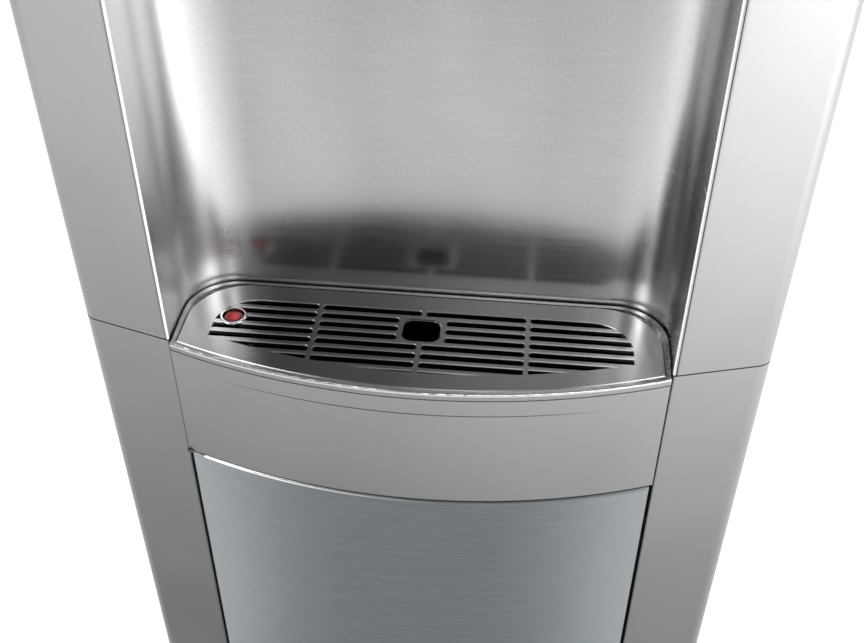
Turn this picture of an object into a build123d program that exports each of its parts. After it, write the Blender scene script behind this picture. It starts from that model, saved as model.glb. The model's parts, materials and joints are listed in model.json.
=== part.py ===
from build123d import *
import os
from math import cos, radians, sin, sqrt, tan

os.makedirs("parts", exist_ok=True)

# A tall countertop water dispenser. Millimetres, +Z up, the front faces -Y.
# The origin is on the counter, under the middle of the machine.

# Overall size
width = 310.0
depth = 360.0
height = 590.0
grate_level = 285.0  # top of the grate above the counter
foot_height = 12.0

# Material thickness and gaps
wall = 2.5  # moulded plastic
sheet = 1.0  # formed steel
seam = 0.7  # visible gap between two outer pieces
slip = 0.3  # clearance between pieces that slide past each other
play = 0.05  # radial clearance of a pin in its hole

# Plan shape of the front
pillar_width = 43.7
pillar_sweep = 16.0  # degrees that a pillar's face turns back
corner_radius = 8.5
pillar_return = 38.0  # how far a pillar runs back along the side
pillar_flange = 8.0
front_bow = 20.3  # height of the front's curve across the recess
pillar_setback = 1.6  # pillar edges stand behind the ends of the curve

half_width = width / 2
front = -depth / 2
rear = depth / 2
recess_half = half_width - pillar_width
front_radius = (recess_half**2 + front_bow**2) / (2 * front_bow)
arc_centre = front + front_radius
shoulder = front + front_bow + pillar_setback

# Dispensing recess and head
recess_depth = 47.0
recess_corner = 24.0
head_height = 90.0
cap_height = 12.5
ceiling_level = height - head_height
cap_level = height - cap_height
recess_back = shoulder + recess_depth

# Drip tray and grate
rim_height = 3.5
rim_width = 2.3
ledge_width = 4.0
basin_depth = 32.0
grate_thickness = 1.9
grate_corner = 27.0
slot_rows = 8
slot_pitch = 5.86
slot_width = 3.4
slot_side_margin = 13.0
slot_front_margin = 12.5
slot_back_margin = 10.9
slot_corner = 19.0
rib_spacing = 47.8
rib_width = 2.2
lift_hole_width = 17.0
lift_hole_depth = 14.2
lift_hole_radius = 4.5
lift_hole_frame = 2.4
float_from_side = 24.8
float_from_back = 27.5
float_ring_radius = 6.15
ring_flange = 0.6
float_lens_radius = 4.75

# Apron, door and filter bay
apron_height = 67.0
door_gap = 2.4
plinth_top = 30.0
door_skin_inset = 1.0
door_depth = 13.0
hinge_inset = 5.3
hinge_pin_radius = 2.0
hinge_pin_length = 9.0
bay_depth = 98.0
cartridge_radius = 31.0
cartridge_length = 118.0
cartridge_spacing = 96.0
filter_head_height = 24.0

apron_top = grate_level - rim_height - 0.5
apron_bottom = grate_level - apron_height
door_top = apron_bottom - door_gap
door_bottom = plinth_top + door_gap
bay_back = shoulder + bay_depth

# Rear of the machine
rear_standoff = 29.0  # rear panel to the wall behind
panel_back = rear - rear_standoff
panel_front = panel_back - sheet
side_front = shoulder + pillar_return + 12.5
panel_flange = 9.0

# Inside
shelf_level = grate_level + 15.0
cold_tank_radius = 58.0
hot_tank_radius = 42.0
coil_tube = 4.0
foam = 16.0


def save(piece, name):
    piece.label = name
    export_step(piece, "parts/" + name + ".step")


def front_y(x, inset=0.0):
    """How far back the curved front lies at x, for a curve drawn inset behind it."""
    return arc_centre - sqrt((front_radius - inset) ** 2 - x**2)


def tray_outline(inset, corner, front_inset=None, mode=Mode.ADD):
    """Plan of the drip tray: curved front, straight sides, rounded back corners."""
    ahead = inset if front_inset is None else front_inset
    half = recess_half - inset
    back = recess_back - inset
    start = front_y(half, ahead)
    with BuildLine() as outline:
        ThreePointArc((-half, start), (0, front + ahead), (half, start))
        FilletPolyline((half, start), (half, back), (-half, back), (-half, start), radius=corner)
    make_face(outline.edges(), mode=mode)


def front_band(left, right, outer, inner, mode=Mode.ADD):
    """Plan of a curved panel between two depths behind the front."""
    middle = (left + right) / 2
    with BuildLine() as outline:
        ThreePointArc((left, front_y(left, outer)), (middle, front_y(middle, outer)), (right, front_y(right, outer)))
        Line((right, front_y(right, outer)), (right, front_y(right, inner)))
        ThreePointArc((right, front_y(right, inner)), (middle, front_y(middle, inner)), (left, front_y(left, inner)))
        Line((left, front_y(left, inner)), (left, front_y(left, outer)))
    make_face(outline.edges(), mode=mode)


def pillar_face(x):
    """Front face of a pillar at x, on the right side."""
    return shoulder + (x - recess_half) * tan(radians(pillar_sweep))


def pillar_section(section, inner):
    """Plan of the right pillar: flange beside the recess, swept face, rounded corner, side return."""
    step = wall / cos(radians(pillar_sweep))
    outside = half_width
    inside = half_width - wall
    back = side_front - seam
    corner = (outside, pillar_face(outside))
    hollow = (inside, pillar_face(inside) + step)
    edge = (inner, pillar_face(inner))
    with BuildLine() as outline:
        Polyline(
            edge,
            corner,
            (outside, back),
            (inside, back),
            hollow,
            (inner + wall, pillar_face(inner + wall) + step),
            (inner + wall, shoulder + pillar_flange),
            (inner, shoulder + pillar_flange),
            close=True,
        )
    make_face(outline.edges())
    fillet(section.vertices().sort_by_distance(corner)[0], corner_radius)
    fillet(section.vertices().sort_by_distance(hollow)[0], corner_radius - wall)
    fillet(section.vertices().sort_by_distance(edge)[0], 0.8)


def cabinet_outline(inset=0.0):
    """Plan of the whole cabinet, with the curved front and rounded corners."""
    edge = recess_half
    start = front_y(edge, inset)
    outside = half_width - inset
    side = pillar_face(half_width) + inset
    back = panel_back - inset
    with BuildLine() as outline:
        ThreePointArc((-edge, start), (0, front + inset), (edge, start))
        FilletPolyline(
            (edge, start),
            (outside, side),
            (outside, back),
            (-outside, back),
            (-outside, side),
            (-edge, start),
            radius=[corner_radius, 4.0, 4.0, corner_radius],
        )
    make_face(outline.edges())


# ---------------------------------------------------------------- cabinet

# Base pan: folded steel tray that carries the compressor.
pan_half = half_width - panel_flange - slip
pan_front = shoulder + 22.0
pan_back = panel_front - slip
pan_lip = 14.0
with BuildPart() as base_pan:
    with BuildSketch(Plane.XY.offset(foot_height)):
        with Locations((0, (pan_front + pan_back) / 2)):
            Rectangle(2 * pan_half, pan_back - pan_front)
    extrude(amount=pan_lip)
    base_top = base_pan.faces().sort_by(Axis.Z)[-1]
    offset(amount=-1.2, openings=base_top)
save(base_pan.part, "base_pan")
pan_top = foot_height + 1.2

# Four rubber feet under the pan.
foot_radius = 14.0
foot_x = pan_half - 24.0
foot_y_front = pan_front + 22.0
foot_y_rear = pan_back - 22.0
foot_places = [
    (-foot_x, foot_y_front),
    (foot_x, foot_y_front),
    (-foot_x, foot_y_rear),
    (foot_x, foot_y_rear),
]
with BuildPart() as feet:
    with BuildSketch():
        with Locations(*foot_places):
            Circle(foot_radius)
    extrude(amount=foot_height)
    chamfer(feet.edges().group_by(Axis.Z)[0], 1.2)
save(feet.part, "feet")

# Plinth: curved kick strip under the door.
with BuildPart() as plinth:
    with BuildSketch(Plane.XY.offset(foot_height)):
        front_band(-recess_half + seam, recess_half - seam, 2.0, 2.0 + wall)
    extrude(amount=plinth_top - foot_height)
save(plinth.part, "plinth")

# Right pillars, above and below the grate's level; the left ones are their mirror images.
liner_gap = sheet + slip
pillar_split = seam / 2
with BuildPart() as pillar_lower_right:
    with BuildSketch(Plane.XY.offset(foot_height)) as section:
        pillar_section(section, recess_half)
    extrude(amount=grate_level - pillar_split - foot_height)
save(pillar_lower_right.part, "pillar_lower_right")

with BuildPart() as pillar_upper_right:
    with BuildSketch(Plane.XY.offset(grate_level + pillar_split)) as section:
        pillar_section(section, recess_half + liner_gap)
    extrude(amount=cap_level - slip - grate_level - pillar_split)
save(pillar_upper_right.part, "pillar_upper_right")

with BuildPart() as pillar_lower_left:
    mirror(pillar_lower_right.part, about=Plane.YZ)
save(pillar_lower_left.part, "pillar_lower_left")

with BuildPart() as pillar_upper_left:
    mirror(pillar_upper_right.part, about=Plane.YZ)
save(pillar_upper_left.part, "pillar_upper_left")

# Side panels: sheet with a flange folded in along the front and the back edge.
screw_x = half_width - panel_flange / 2
screw_levels = [foot_height + 28.0 + row * (cap_level - foot_height - 56.0) / 3 for row in range(4)]
screw_radius = 1.5
screw_hole = screw_radius + play
with BuildPart() as side_panel_right:
    with BuildSketch(Plane.XY.offset(foot_height)):
        with BuildLine():
            Polyline(
                (half_width, side_front),
                (half_width, panel_front - slip),
                (half_width - panel_flange, panel_front - slip),
                (half_width - panel_flange, panel_front - slip - sheet),
                (half_width - sheet, panel_front - slip - sheet),
                (half_width - sheet, side_front + sheet),
                (half_width - panel_flange, side_front + sheet),
                (half_width - panel_flange, side_front),
                close=True,
            )
        make_face()
    extrude(amount=cap_level - slip - foot_height)
    with BuildSketch(Plane.XZ.offset(-panel_front)):
        with Locations(*[(screw_x, z) for z in screw_levels]):
            Circle(screw_hole)
    extrude(amount=3 * sheet, mode=Mode.SUBTRACT)
save(side_panel_right.part, "side_panel_right")

with BuildPart() as side_panel_left:
    mirror(side_panel_right.part, about=Plane.YZ)
save(side_panel_left.part, "side_panel_left")

# Places on the rear panel, seen from behind.
services_level = foot_height + 48.0
inlet_x = half_width - 18.0
power_x = -half_width + 45.0
power_width = 27.6
power_height = 20.4
rocker_width = 13.0
rocker_height = 21.0
rocker_places = [power_x + 38.0, power_x + 62.0]
fitting_radius = 9.0
drain_radius = 6.0

# Tanks stand on a shelf behind the recess: the cold one ahead on the left, the hot one behind on the right.
cold_shell = cold_tank_radius + 2 * coil_tube + 1.0
cold_foam = cold_shell + foam
hot_shell = hot_tank_radius + 3.0
hot_foam = hot_shell + foam
cold_x = -(half_width - sheet - cold_foam - 3.0)
cold_y = recess_back + sheet + cold_foam + 4.0
hot_x = half_width - sheet - hot_foam - 3.0
hot_y = panel_front - hot_foam - 4.0
cold_stub_x = cold_x + 0.5 * cold_tank_radius
cold_stub_y = cold_y - 0.3 * cold_tank_radius
tank_floor = shelf_level + sheet
foam_top = cap_level - 20.0
drain_level = tank_floor + foam + 12.0

# Condenser on the outside of the rear panel.
condenser_tube_radius = 2.5
condenser_wire_radius = 0.7
condenser_pitch = 36.0
condenser_left = -half_width + 35.0
condenser_right = hot_x - 25.0
condenser_bottom = services_level + 60.0
condenser_runs = int((cap_level - 45.0 - condenser_bottom) / condenser_pitch) + 1
condenser_y = rear - 9.0
condenser_top = condenser_bottom + (condenser_runs - 1) * condenser_pitch
condenser_end = condenser_right if condenser_runs % 2 else condenser_left

# Rear panel: sheet with cut-outs for the inlets, switches, drain, pipes and vents.
vent_width = 60.0
vent_pitch = 9.0


def rear_screw_places():
    return [(x, z) for x in (-screw_x, screw_x) for z in screw_levels]


with BuildPart() as rear_panel:
    with BuildSketch(Plane.XZ.offset(-panel_front)):
        with Locations((0, (foot_height + cap_level - slip) / 2)):
            Rectangle(width, cap_level - slip - foot_height)
        with Locations((power_x, services_level)):
            Rectangle(power_width, power_height, mode=Mode.SUBTRACT)
        with Locations(*[(x, services_level) for x in rocker_places]):
            Rectangle(rocker_width, rocker_height, mode=Mode.SUBTRACT)
        with Locations((inlet_x, services_level)):
            Circle(fitting_radius - 2.5 + play, mode=Mode.SUBTRACT)
        with Locations((hot_x, drain_level)):
            Circle(drain_radius + slip, mode=Mode.SUBTRACT)
        with Locations((condenser_left, condenser_top), (condenser_end, condenser_bottom)):
            Circle(condenser_tube_radius + 1.0, mode=Mode.SUBTRACT)
        with Locations(*rear_screw_places()):
            Circle(screw_hole, mode=Mode.SUBTRACT)
        with Locations((0, services_level + 36.0), (0, cap_level - 30.0)):
            with GridLocations(vent_width + 20.0, vent_pitch, 2, 4):
                SlotOverall(vent_width, 4.0, mode=Mode.SUBTRACT)
    extrude(amount=-sheet)
save(rear_panel.part, "rear_panel")


with BuildPart() as rear_screws:
    with BuildSketch(Plane.XZ.offset(-panel_back)):
        with Locations(*rear_screw_places()):
            Circle(3.4)
    extrude(amount=-1.8)
    fillet(rear_screws.edges().group_by(Axis.Y)[-1], 1.2)
    with BuildSketch(Plane.XZ.offset(-panel_back)):
        with Locations(*rear_screw_places()):
            Circle(screw_radius)
    extrude(amount=sheet + slip + sheet + 4.0)
    with Locations(*[Plane((x, panel_back + 1.8, z), x_dir=(1, 0, 0), z_dir=(0, 1, 0)) for x, z in rear_screw_places()]):
        Box(3.6, 0.7, 1.8, mode=Mode.SUBTRACT)
        Box(0.7, 3.6, 1.8, mode=Mode.SUBTRACT)
save(rear_screws.part, "rear_screws")

# Top cover: shallow moulded lid with a rounded rim.
with BuildPart() as top_cover:
    with BuildSketch(Plane.XY.offset(cap_level)):
        cabinet_outline()
    extrude(amount=cap_height)
    fillet(top_cover.edges().group_by(Axis.Z)[-1], 4.0)
    with BuildSketch(Plane.XY.offset(cap_level)):
        cabinet_outline(inset=3.0)
    extrude(amount=cap_height - wall, mode=Mode.SUBTRACT)
save(top_cover.part, "top_cover")

# ---------------------------------------------------------------- recess

# Apron under the tray: curved skin with a shelf at the top and a return at the bottom.
apron_half = recess_half - seam
apron_shelf = rim_width + ledge_width - 1.5
crease_half = 86.0
crease_centre = -2.0
crease_drop = 9.0
crease_depth = 0.4
crease_height = 0.5


def crease_outline():
    """Hairline groove in the apron, deepest in the middle and running out at both ends."""
    left, right = crease_centre - crease_half, crease_centre + crease_half
    front_middle = front_y(crease_centre)
    with BuildLine() as outline:
        ThreePointArc((left, front_y(left)), (crease_centre, front_middle + crease_depth), (right, front_y(right)))
        ThreePointArc((right, front_y(right)), (crease_centre, front_middle - 1.0), (left, front_y(left)))
    make_face(outline.edges())


with BuildPart() as apron:
    with BuildSketch(Plane.XY.offset(apron_bottom)):
        front_band(-apron_half, apron_half, 0, wall)
    extrude(amount=apron_height - rim_height - 0.5)
    with BuildSketch(Plane.XY.offset(apron_top - wall)):
        front_band(-apron_half, apron_half, 0, apron_shelf)
    extrude(amount=wall)
    with BuildSketch(Plane.XY.offset(apron_bottom)):
        front_band(-apron_half, apron_half, 0, door_depth)
    extrude(amount=wall)
    with BuildSketch(Plane.XY.offset(apron_top - crease_drop)):
        crease_outline()
    extrude(amount=crease_height, mode=Mode.SUBTRACT)
save(apron.part, "apron")

# Formed steel liner of the recess, with a ledge folded in under the tray's rim.
liner_front = shoulder + 0.4
rim_bottom = grate_level - rim_height
ledge_top = rim_bottom - 0.2


def liner_outline(half, back, corner, mode=Mode.ADD):
    with BuildLine() as outline:
        FilletPolyline((half, liner_front), (half, back), (-half, back), (-half, liner_front), radius=corner)
        Line((-half, liner_front), (half, liner_front))
    make_face(outline.edges(), mode=mode)


with BuildPart() as recess_liner:
    with BuildSketch(Plane.XY.offset(ledge_top - sheet)):
        liner_outline(recess_half + sheet, recess_back + sheet, recess_corner + sheet)
    extrude(amount=ceiling_level + 12.0 - ledge_top + sheet)
    with BuildSketch(Plane.XY.offset(ledge_top)):
        liner_outline(recess_half, recess_back, recess_corner, mode=Mode.ADD)
    extrude(amount=ceiling_level + 12.0 - ledge_top, mode=Mode.SUBTRACT)
    with BuildSketch(Plane.XY.offset(ledge_top - sheet)):
        liner_outline(recess_half - apron_shelf, recess_back - apron_shelf, recess_corner - apron_shelf)
    extrude(amount=sheet, mode=Mode.SUBTRACT)
    with Locations((0, shoulder + pillar_flange + slip, grate_level + pillar_split)):
        Box(width, 2 * pillar_flange, 20.0, align=(Align.CENTER, Align.MAX, Align.MAX), mode=Mode.SUBTRACT)
save(recess_liner.part, "recess_liner")

# Drip basin: rim with a rabbet for the grate, ledge, and a well below.
rim_inset = seam
pocket_inset = rim_inset + rim_width
well_inset = pocket_inset + ledge_width
well_wall = 1.5
grate_bottom = grate_level - grate_thickness
pocket_floor = grate_bottom - 0.1
with BuildPart() as drip_basin:
    with BuildSketch(Plane.XY.offset(rim_bottom)):
        tray_outline(rim_inset, recess_corner - rim_inset, front_inset=0.0)
    extrude(amount=rim_height)
    fillet(drip_basin.edges().group_by(Axis.Z)[-1], 0.6)
    with BuildSketch(Plane.XY.offset(rim_bottom - basin_depth)):
        tray_outline(well_inset - well_wall, recess_corner - 4.0)
    extrude(amount=basin_depth)
    fillet(drip_basin.edges().group_by(Axis.Z)[0], 5.0)
    with BuildSketch(Plane.XY.offset(pocket_floor)):
        tray_outline(pocket_inset, recess_corner - 2.0, front_inset=rim_width)
    extrude(amount=rim_height, mode=Mode.SUBTRACT)
    with BuildSketch(Plane.XY.offset(rim_bottom - basin_depth + well_wall)):
        tray_outline(well_inset, recess_corner - 5.5)
    extrude(amount=basin_depth + rim_height, mode=Mode.SUBTRACT)
save(drip_basin.part, "drip_basin")

# Grate: plate with rows of slots cut by straight ribs, a lifting hole and a hole for the float.
grate_inset = pocket_inset + 0.35
lift_hole_y = recess_back - 28.0
float_x = -(recess_half - float_from_side)
float_y = recess_back - float_from_back
slot_half = recess_half - grate_inset - slot_side_margin
slot_back = recess_back - grate_inset - slot_back_margin


def slot_field():
    """Region that the slots fill: straight sides, rounded back corners and an arc parallel to the front."""
    field_radius = front_radius - slot_front_margin
    side_front = arc_centre - sqrt(field_radius**2 - slot_half**2)
    corner_x, corner_y = slot_half - slot_corner, slot_back - slot_corner
    with BuildLine() as outline:
        Line((-slot_half, side_front), (-slot_half, corner_y))
        CenterArc((-corner_x, corner_y), slot_corner, 180, -90)
        Line((-corner_x, slot_back), (corner_x, slot_back))
        CenterArc((corner_x, corner_y), slot_corner, 90, -90)
        Line((slot_half, corner_y), (slot_half, side_front))
        ThreePointArc((slot_half, side_front), (0, arc_centre - field_radius), (-slot_half, side_front))
    make_face(outline.edges(), mode=Mode.INTERSECT)


def slot_field_half(y):
    """Half width of the field's front arc at y."""
    field_radius = front_radius - slot_front_margin
    return sqrt(max(0.0, field_radius**2 - (arc_centre - y) ** 2))


rib_places = (-rib_spacing, 0.0, rib_spacing)
row_middles = [slot_back - slot_width / 2 - row * slot_pitch for row in range(slot_rows)]
hole_rows = [y for y in row_middles if abs(y - lift_hole_y) < lift_hole_depth / 2 + lift_hole_frame]
frame_half = lift_hole_width / 2 + lift_hole_frame
slot_end_radius = 1.4
edge_bevel = 0.35
with BuildSketch() as slots:
    with Locations(*[(0, y) for y in row_middles]):
        Rectangle(2 * slot_half, slot_width)
    slot_field()
    with Locations(*[(x, lift_hole_y) for x in rib_places]):
        Rectangle(rib_width, 2 * recess_depth, mode=Mode.SUBTRACT)
    with Locations(*[(0, y) for y in hole_rows]):
        Rectangle(2 * frame_half, slot_width, mode=Mode.SUBTRACT)
    inner_ends = [x + side * rib_width / 2 for x in rib_places for side in (-1, 1)] + [-frame_half, frame_half]
    square_ends = [
        v
        for v in slots.vertices()
        if min(abs(v.X - x) for x in inner_ends) < 0.01 and abs(v.X) + 3.0 < slot_field_half(v.Y - slot_width)
    ]
    fillet(square_ends, slot_end_radius)
with BuildPart() as grate:
    with BuildSketch(Plane.XY.offset(grate_bottom)):
        tray_outline(grate_inset, grate_corner, front_inset=rim_width + 0.35)
        with Locations((0, lift_hole_y)):
            RectangleRounded(lift_hole_width, lift_hole_depth, lift_hole_radius, mode=Mode.SUBTRACT)
    extrude(amount=grate_thickness)
    chamfer(grate.edges().group_by(Axis.Z)[-1], edge_bevel)
    with BuildSketch(Plane.XY.offset(grate_bottom)):
        add(slots.sketch)
    extrude(amount=grate_thickness, mode=Mode.SUBTRACT)
    top_edges = grate.faces().sort_by(Axis.Z)[-1].inner_wires().edges()
    chamfer(top_edges.filter_by(GeomType.LINE).filter_by(Axis.X), edge_bevel)
    with BuildSketch(Plane.XY.offset(grate_bottom)):
        with Locations((float_x, float_y)):
            Circle(float_ring_radius - ring_flange + play)
    extrude(amount=grate_thickness, mode=Mode.SUBTRACT)
save(grate.part, "grate")

# Float ring: flange on the grate and a barrel through it that guides the float.
with BuildPart() as float_ring:
    with BuildSketch(Plane.XY.offset(grate_level)):
        with Locations((float_x, float_y)):
            Circle(float_ring_radius)
    extrude(amount=1.0)
    fillet(float_ring.edges().group_by(Axis.Z)[-1], 0.7)
    with BuildSketch(Plane.XY.offset(grate_level)):
        with Locations((float_x, float_y)):
            Circle(float_ring_radius - ring_flange)
    extrude(amount=-8.0)
    with BuildSketch(Plane.XY.offset(grate_level - 8.0)):
        with Locations((float_x, float_y)):
            Circle(float_lens_radius + slip)
    extrude(amount=12.0, mode=Mode.SUBTRACT)
save(float_ring.part, "float_ring")

# Float indicator: red lens, stem and the float that the rising water lifts.
float_disc_top = grate_level - 14.0
float_disc_radius = 9.0
with BuildPart() as float_indicator:
    with Locations((float_x, float_y, grate_level - 4.0)):
        Cylinder(float_lens_radius, 4.2, align=(Align.CENTER, Align.CENTER, Align.MIN))
    fillet(float_indicator.edges().group_by(Axis.Z)[-1], 1.6)
    with Locations((float_x, float_y, float_disc_top - 0.5)):
        Cylinder(1.8, 11.0, align=(Align.CENTER, Align.CENTER, Align.MIN))
    with Locations((float_x, float_y, float_disc_top - 11.0)):
        Cylinder(float_disc_radius, 11.0, align=(Align.CENTER, Align.CENTER, Align.MIN))
    fillet(float_indicator.edges().group_by(Axis.Z)[0], 2.0)
save(float_indicator.part, "float_indicator")

# ---------------------------------------------------------------- head

# Head fascia: curved panel over the recess, with a window for the control panel.
fascia_half = recess_half - seam
control_half = 78.0
control_bottom = ceiling_level + 16.0
control_top = cap_level - 10.0
with BuildPart() as head_fascia:
    with BuildSketch(Plane.XY.offset(ceiling_level)):
        front_band(-fascia_half, fascia_half, 0, wall)
    extrude(amount=cap_level - slip - ceiling_level)
    with BuildSketch(Plane.XY.offset(control_bottom)):
        front_band(-control_half, control_half, -1.0, wall + 1.0)
    extrude(amount=control_top - control_bottom, mode=Mode.SUBTRACT)
save(head_fascia.part, "head_fascia")

# Keys on the control panel: cold, child lock, hot.
key_width = 34.0
key_height = 18.0
lock_width = 20.0
key_spacing = 96.0
key_level = control_bottom + 17.0
panel_inset = 1.0
key_travel = 1.6
key_gap = 0.4
panel_thickness = 2.0
key_specs = [
    ("button_cold", -key_spacing / 2, key_width),
    ("button_lock", 0.0, lock_width),
    ("button_hot", key_spacing / 2, key_width),
]
light_level = key_level + 18.0
light_radius = 1.5
board_front = front + 26.0
switch_height = 3.5
switch_face = board_front - switch_height

with BuildPart() as control_panel:
    with BuildSketch(Plane.XY.offset(control_bottom + slip)):
        front_band(-control_half + slip, control_half - slip, panel_inset, panel_inset + panel_thickness)
    extrude(amount=control_top - control_bottom - 2 * slip)
    for name, x, opening in key_specs:
        with BuildSketch(Plane.XY.offset(key_level - key_height / 2 - key_gap)):
            front_band(x - opening / 2 - key_gap, x + opening / 2 + key_gap, -1.0, panel_thickness + 2.0)
        extrude(amount=key_height + 2 * key_gap, mode=Mode.SUBTRACT)
    with BuildSketch(Plane.XZ.offset(-front)):
        with Locations(*[(x, light_level) for name, x, opening in key_specs]):
            Circle(light_radius + play)
    extrude(amount=-front_y(control_half) + front - 4.0, mode=Mode.SUBTRACT)
save(control_panel.part, "control_panel")

for name, x, opening in key_specs:
    flange = 1.5
    flange_ahead = panel_inset + panel_thickness + 0.6
    stem_end = switch_face - key_travel - 0.4
    with BuildPart() as key:
        with BuildSketch(Plane.XY.offset(key_level - key_height / 2)):
            front_band(x - opening / 2, x + opening / 2, 0, flange_ahead + 0.4)
        extrude(amount=key_height)
        with BuildSketch(Plane.XY.offset(key_level - key_height / 2 - flange)):
            front_band(x - opening / 2 - flange, x + opening / 2 + flange, flange_ahead, flange_ahead + 1.2)
        extrude(amount=key_height + 2 * flange)
        with BuildSketch(Plane.XZ.offset(-front_y(x, flange_ahead + 0.6))):
            with Locations((x, key_level)):
                Circle(2.0)
        extrude(amount=front_y(x, flange_ahead + 0.6) - stem_end)
    save(key.part, name)

with BuildPart() as indicator_lights:
    for name, x, opening in key_specs:
        with BuildSketch(Plane.XZ.offset(-front_y(x, panel_inset - 0.1))):
            with Locations((x, light_level)):
                Circle(light_radius)
        extrude(amount=front_y(x, panel_inset - 0.1) - board_front + 0.2)
save(indicator_lights.part, "indicator_lights")

# Control board with a push switch behind each key.
board_half = control_half - 4.0
board_bottom = control_bottom + 2.0
board_height = control_top - control_bottom - 4.0
board_thickness = 1.6
with BuildPart() as control_board:
    with BuildSketch(Plane.XZ.offset(-board_front)):
        with Locations((0, board_bottom + board_height / 2)):
            Rectangle(2 * board_half, board_height)
    extrude(amount=-board_thickness)
    with BuildSketch(Plane.XZ.offset(-board_front)):
        with Locations(*[(x, key_level) for name, x, opening in key_specs]):
            Rectangle(6.0, 6.0)
    extrude(amount=switch_height)
save(control_board.part, "control_board")

# Ceiling of the recess, with a hole for each nozzle.
nozzle_spacing = 62.0
nozzle_y = shoulder + 18.0
nozzle_drop = 26.0
nozzle_neck = 7.0
nozzle_bore = 3.2
nozzle_rise = 12.0
with BuildPart() as head_ceiling:
    with BuildSketch(Plane.XY.offset(ceiling_level)):
        tray_outline(0.5, recess_corner - 0.5, front_inset=wall + slip)
        with Locations((-nozzle_spacing / 2, nozzle_y), (nozzle_spacing / 2, nozzle_y)):
            Circle(nozzle_neck + slip, mode=Mode.SUBTRACT)
    extrude(amount=wall)
save(head_ceiling.part, "head_ceiling")

# Nozzles: flange under the ceiling, tapered spout below, neck up to the valve.
for name, x in (("nozzle_cold", -nozzle_spacing / 2), ("nozzle_hot", nozzle_spacing / 2)):
    spout_plane = Plane((x, nozzle_y, ceiling_level), x_dir=(1, 0, 0), z_dir=(0, -1, 0))
    with BuildPart() as nozzle:
        with BuildSketch(spout_plane):
            with BuildLine():
                Polyline(
                    (nozzle_bore, nozzle_rise),
                    (nozzle_neck, nozzle_rise),
                    (nozzle_neck, 0),
                    (nozzle_neck + 5.0, 0),
                    (nozzle_neck + 4.0, -4.0),
                    (nozzle_neck + 0.5, -7.0),
                    (nozzle_bore + 1.6, -nozzle_drop),
                    (nozzle_bore, -nozzle_drop),
                    close=True,
                )
            make_face()
        revolve(axis=Axis((x, nozzle_y, 0), (0, 0, 1)))
    save(nozzle.part, name)

# Solenoid valves, one on each nozzle: body, coil and inlet stub.
valve_base = ceiling_level + nozzle_rise
valve_body = 20.0
valve_body_height = 20.0
valve_coil_radius = 9.0
stub_radius = 4.0
for name, x in (("valve_cold", -nozzle_spacing / 2), ("valve_hot", nozzle_spacing / 2)):
    with BuildPart() as valve:
        with Locations((x, nozzle_y, valve_base)):
            Box(valve_body, valve_body, valve_body_height, align=(Align.CENTER, Align.CENTER, Align.MIN))
        fillet(valve.edges().filter_by(Axis.Z), 3.0)
        with Locations((x, nozzle_y, valve_base + valve_body_height)):
            Cylinder(valve_coil_radius, 18.0, align=(Align.CENTER, Align.CENTER, Align.MIN))
        with BuildSketch(Plane.XZ.offset(-nozzle_y)):
            with Locations((x, valve_base + valve_body_height / 2)):
                Circle(stub_radius)
        extrude(amount=-valve_body / 2 - 8.0)
    save(valve.part, name)
valve_inlet = nozzle_y + valve_body / 2 + 8.0
valve_level = valve_base + valve_body_height / 2

# ---------------------------------------------------------------- door and filter bay

hinge_x = -recess_half + hinge_inset
door_right = recess_half - 1.8
door_back = door_skin_inset + sheet + door_depth
door_round = 4.6
hinge_y = front_y(hinge_x, door_skin_inset) + door_round / cos(radians(20.0))
door_height = door_top - door_bottom

# Door skin: brushed sheet that follows the front's curve and wraps round the hinge edge.
wrap_start = 1.2
with BuildPart() as door_skin:
    with BuildSketch(Plane.XY.offset(door_bottom)):
        with Locations((hinge_x, hinge_y)):
            Circle(door_round)
            Circle(door_round - sheet, mode=Mode.SUBTRACT)
            Rectangle(4 * door_round, 4 * door_round, align=(Align.CENTER, Align.MIN), mode=Mode.SUBTRACT)
        with Locations((hinge_x - wrap_start, hinge_y)):
            Rectangle(2 * door_round, 4 * door_round, align=(Align.MIN, Align.CENTER), mode=Mode.SUBTRACT)
        front_band(hinge_x - wrap_start - 0.3, door_right, door_skin_inset, door_skin_inset + sheet)
    extrude(amount=door_height)
save(door_skin.part, "door_skin")

# Door frame: hollow moulding behind the skin, rounded at the hinge edge and bored for the pins.
frame_front = door_skin_inset + sheet
frame_rim = 2.5
with BuildPart() as door_frame:
    with BuildSketch(Plane.XY.offset(door_bottom)):
        front_band(hinge_x, door_right, frame_front, door_back)
        with Locations((hinge_x, hinge_y)):
            Circle(door_round - sheet - play)
            Rectangle(2 * door_round, door_depth - door_round, align=(Align.CENTER, Align.MIN))
        front_band(hinge_x - door_round, door_right, door_skin_inset - 3.0, frame_front, mode=Mode.SUBTRACT)
    extrude(amount=door_height)
    with BuildSketch(Plane.XY.offset(door_bottom + frame_rim)):
        front_band(hinge_x + 12.0, door_right - frame_rim, frame_front + frame_rim, door_back + 1.0)
    extrude(amount=door_height - 2 * frame_rim, mode=Mode.SUBTRACT)
    with Locations((hinge_x, hinge_y, door_top)):
        Cylinder(
            hinge_pin_radius + play,
            hinge_pin_length + 1.0,
            align=(Align.CENTER, Align.CENTER, Align.MAX),
            mode=Mode.SUBTRACT,
        )
    with Locations((hinge_x, hinge_y, door_bottom)):
        Cylinder(
            hinge_pin_radius + play,
            hinge_pin_length + 1.0,
            align=(Align.CENTER, Align.CENTER, Align.MIN),
            mode=Mode.SUBTRACT,
        )
save(door_frame.part, "door_frame")

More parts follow.
